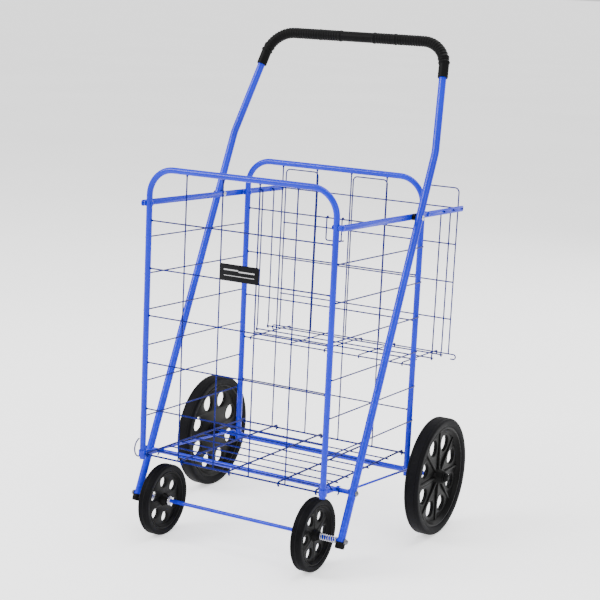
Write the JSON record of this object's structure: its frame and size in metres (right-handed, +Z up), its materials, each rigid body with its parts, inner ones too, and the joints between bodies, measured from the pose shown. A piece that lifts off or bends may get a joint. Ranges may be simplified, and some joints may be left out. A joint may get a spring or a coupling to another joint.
{
  "type": "folding wire shopping cart",
  "caption": "Folding wire cart with a tall main basket, a rear basket, a tilted push handle and large rear and small front wheels.",
  "frame": {"origin": "on the ground, under the middle of the bounding box", "axes": "+Z up, -Y is the front (small wheels and label), +X is to the right when seen from the front camera side"},
  "size_m": [0.6286, 0.6132, 1.0544],
  "materials": {
    "blue_paint": "glossy powder coat",
    "black_plastic": "satin moulded plastic",
    "tyre": "matt rubber",
    "zinc": "bright zinc plate",
    "label": "gloss black plate"
  },
  "bodies": {
    "rear_frame": {"rear_tube": "blue_paint", "rear_grille": "blue_paint", "rear_axle": "blue_paint", "rear_rivet_left": "blue_paint", "rear_rivet_right": "blue_paint"},
    "straps": {"strap_left": "blue_paint", "strap_right": "blue_paint", "front_rivet_left": "blue_paint", "front_rivet_right": "blue_paint", "handle_rivet_left": "zinc", "handle_rivet_right": "zinc", "handle_spacer_left": "black_plastic", "handle_spacer_right": "black_plastic"},
    "front_frame": {"front_tube": "blue_paint", "front_grille": "blue_paint", "label_plate": "label", "foot_bracket_left": "blue_paint", "foot_bracket_right": "blue_paint"},
    "handle_frame": {"handle_tube": "blue_paint", "grip": "black_plastic", "front_axle": "blue_paint", "handle_cap_left": "black_plastic", "handle_cap_right": "black_plastic", "spring_left": "zinc", "spring_right": "zinc", "cross_bolt_left": "zinc", "cross_bolt_right": "zinc"},
    "bottom_frame": {"bottom_frame": "blue_paint"},
    "basket_floor": {"basket_floor": "blue_paint"},
    "rear_basket_back": {"rear_basket_back": "blue_paint"},
    "rear_basket_floor": {"rear_basket_floor": "blue_paint"},
    "fold_catch": {"fold_catch": "blue_paint"},
    "side_wires_1": {"side_wire_left_1": "blue_paint", "side_wire_right_1": "blue_paint"},
    "side_wires_2": {"side_wire_left_2": "blue_paint", "side_wire_right_2": "blue_paint"},
    "side_wires_3": {"side_wire_left_3": "blue_paint", "side_wire_right_3": "blue_paint"},
    "side_wires_4": {"side_wire_left_4": "blue_paint", "side_wire_right_4": "blue_paint"},
    "side_wires_5": {"side_wire_left_5": "blue_paint", "side_wire_right_5": "blue_paint"},
    "side_wires_6": {"side_wire_left_6": "blue_paint", "side_wire_right_6": "blue_paint"},
    "rear_basket_hangers_1": {"rear_basket_hanger_left_1": "blue_paint", "rear_basket_hanger_right_1": "blue_paint"},
    "rear_basket_hangers_2": {"rear_basket_hanger_left_2": "blue_paint", "rear_basket_hanger_right_2": "blue_paint"},
    "rear_wheel_left": {"rear_wheel_left": "black_plastic", "rear_tyre_left": "tyre"},
    "rear_wheel_right": {"rear_wheel_right": "black_plastic", "rear_tyre_right": "tyre"},
    "front_wheel_left": {"front_wheel_left": "black_plastic", "front_tyre_left": "tyre"},
    "front_wheel_right": {"front_wheel_right": "black_plastic", "front_tyre_right": "tyre"},
    "foot_latch_left": {"foot_latch_left": "blue_paint"},
    "foot_latch_right": {"foot_latch_right": "blue_paint"}
  },
  "joints": [
    {"name": "fold", "type": "hinge", "parent": "rear_frame", "child": "straps", "pos_m": [0, 0.1226, 0.689], "axis": [-1, 0, 0], "range_deg": [0, 75]},
    {"name": "front_frame_pivot", "type": "hinge", "parent": "straps", "child": "front_frame", "pos_m": [0, -0.2624, 0.702], "axis": [1, 0, 0], "range_deg": [0, 75]},
    {"name": "handle_pivot", "type": "hinge", "parent": "straps", "child": "handle_frame", "pos_m": [0, 0.04526, 0.69161], "axis": [1, 0, 0], "range_deg": [0, 91.5]},
    {"name": "bottom_frame_pivot", "type": "hinge", "parent": "handle_frame", "child": "bottom_frame", "pos_m": [0, -0.19164, 0.164], "axis": [1, 0, 0], "range_deg": [0, 71.25]},
    {"name": "basket_floor_pivot", "type": "hinge", "parent": "rear_frame", "child": "basket_floor", "pos_m": [0, 0.1226, 0.163], "axis": [-1, 0, 0], "range_deg": [0, 75]},
    {"name": "side_wires_1_pivot", "type": "hinge", "parent": "rear_frame", "child": "side_wires_1", "pos_m": [0, 0.1226, 0.24], "axis": [-1, 0, 0], "range_deg": [0, 75]},
    {"name": "side_wires_2_pivot", "type": "hinge", "parent": "rear_frame", "child": "side_wires_2", "pos_m": [0, 0.1226, 0.3158], "axis": [-1, 0, 0], "range_deg": [0, 75]},
    {"name": "side_wires_3_pivot", "type": "hinge", "parent": "rear_frame", "child": "side_wires_3", "pos_m": [0, 0.1226, 0.3916], "axis": [-1, 0, 0], "range_deg": [0, 75]},
    {"name": "side_wires_4_pivot", "type": "hinge", "parent": "rear_frame", "child": "side_wires_4", "pos_m": [0, 0.1226, 0.4674], "axis": [-1, 0, 0], "range_deg": [0, 75]},
    {"name": "side_wires_5_pivot", "type": "hinge", "parent": "rear_frame", "child": "side_wires_5", "pos_m": [0, 0.1226, 0.5432], "axis": [-1, 0, 0], "range_deg": [0, 75]},
    {"name": "side_wires_6_pivot", "type": "hinge", "parent": "rear_frame", "child": "side_wires_6", "pos_m": [0, 0.1226, 0.619], "axis": [-1, 0, 0], "range_deg": [0, 75]},
    {"name": "rear_basket_back_pivot", "type": "hinge", "parent": "straps", "child": "rear_basket_back", "pos_m": [0, 0.2986, 0.68306], "axis": [1, 0, 0], "range_deg": [0, 75]},
    {"name": "rear_basket_floor_pivot", "type": "hinge", "parent": "rear_frame", "child": "rear_basket_floor", "pos_m": [0, 0.1226, 0.3598], "axis": [-1, 0, 0], "range_deg": [0, 75]},
    {"name": "rear_basket_hangers_1_pivot", "type": "hinge", "parent": "straps", "child": "rear_basket_hangers_1", "pos_m": [0, 0.2026, 0.6863], "axis": [1, 0, 0], "range_deg": [0, 75]},
    {"name": "rear_basket_hangers_2_pivot", "type": "hinge", "parent": "straps", "child": "rear_basket_hangers_2", "pos_m": [0, 0.2526, 0.68461], "axis": [1, 0, 0], "range_deg": [0, 75]},
    {"name": "rear_wheel_left_spin", "type": "hinge", "parent": "rear_frame", "child": "rear_wheel_left", "pos_m": [-0.284, 0.1226, 0.127], "axis": [1, 0, 0], "continuous": true},
    {"name": "front_wheel_left_spin", "type": "hinge", "parent": "handle_frame", "child": "front_wheel_left", "pos_m": [-0.181, -0.2316, 0.075], "axis": [1, 0, 0], "continuous": true},
    {"name": "rear_wheel_right_spin", "type": "hinge", "parent": "rear_frame", "child": "rear_wheel_right", "pos_m": [0.284, 0.1226, 0.127], "axis": [1, 0, 0], "continuous": true},
    {"name": "front_wheel_right_spin", "type": "hinge", "parent": "handle_frame", "child": "front_wheel_right", "pos_m": [0.181, -0.2316, 0.075], "axis": [1, 0, 0], "continuous": true},
    {"name": "fold_catch_swing", "type": "hinge", "parent": "rear_frame", "child": "fold_catch", "pos_m": [0, 0.1226, 0.655], "axis": [-1, 0, 0], "range_deg": [0, 60]},
    {"name": "foot_latch_left_swing", "type": "hinge", "parent": "front_frame", "child": "foot_latch_left", "pos_m": [-0.2164, -0.20414, 0.17], "axis": [-1, 0, 0], "range_deg": [0, 60]},
    {"name": "foot_latch_right_swing", "type": "hinge", "parent": "front_frame", "child": "foot_latch_right", "pos_m": [0.2164, -0.20414, 0.17], "axis": [-1, 0, 0], "range_deg": [0, 60]}
  ],
  "couplings": [
    {"joint": "front_frame_pivot", "follows": "fold", "ratio": 1},
    {"joint": "handle_pivot", "follows": "fold", "ratio": 1.22},
    {"joint": "bottom_frame_pivot", "follows": "fold", "ratio": 0.95},
    {"joint": "basket_floor_pivot", "follows": "fold", "ratio": 1},
    {"joint": "side_wires_1_pivot", "follows": "fold", "ratio": 1},
    {"joint": "side_wires_2_pivot", "follows": "fold", "ratio": 1},
    {"joint": "side_wires_3_pivot", "follows": "fold", "ratio": 1},
    {"joint": "side_wires_4_pivot", "follows": "fold", "ratio": 1},
    {"joint": "side_wires_5_pivot", "follows": "fold", "ratio": 1},
    {"joint": "side_wires_6_pivot", "follows": "fold", "ratio": 1},
    {"joint": "rear_basket_back_pivot", "follows": "fold", "ratio": 1},
    {"joint": "rear_basket_floor_pivot", "follows": "fold", "ratio": 1},
    {"joint": "rear_basket_hangers_1_pivot", "follows": "fold", "ratio": 1},
    {"joint": "rear_basket_hangers_2_pivot", "follows": "fold", "ratio": 1}
  ]
}
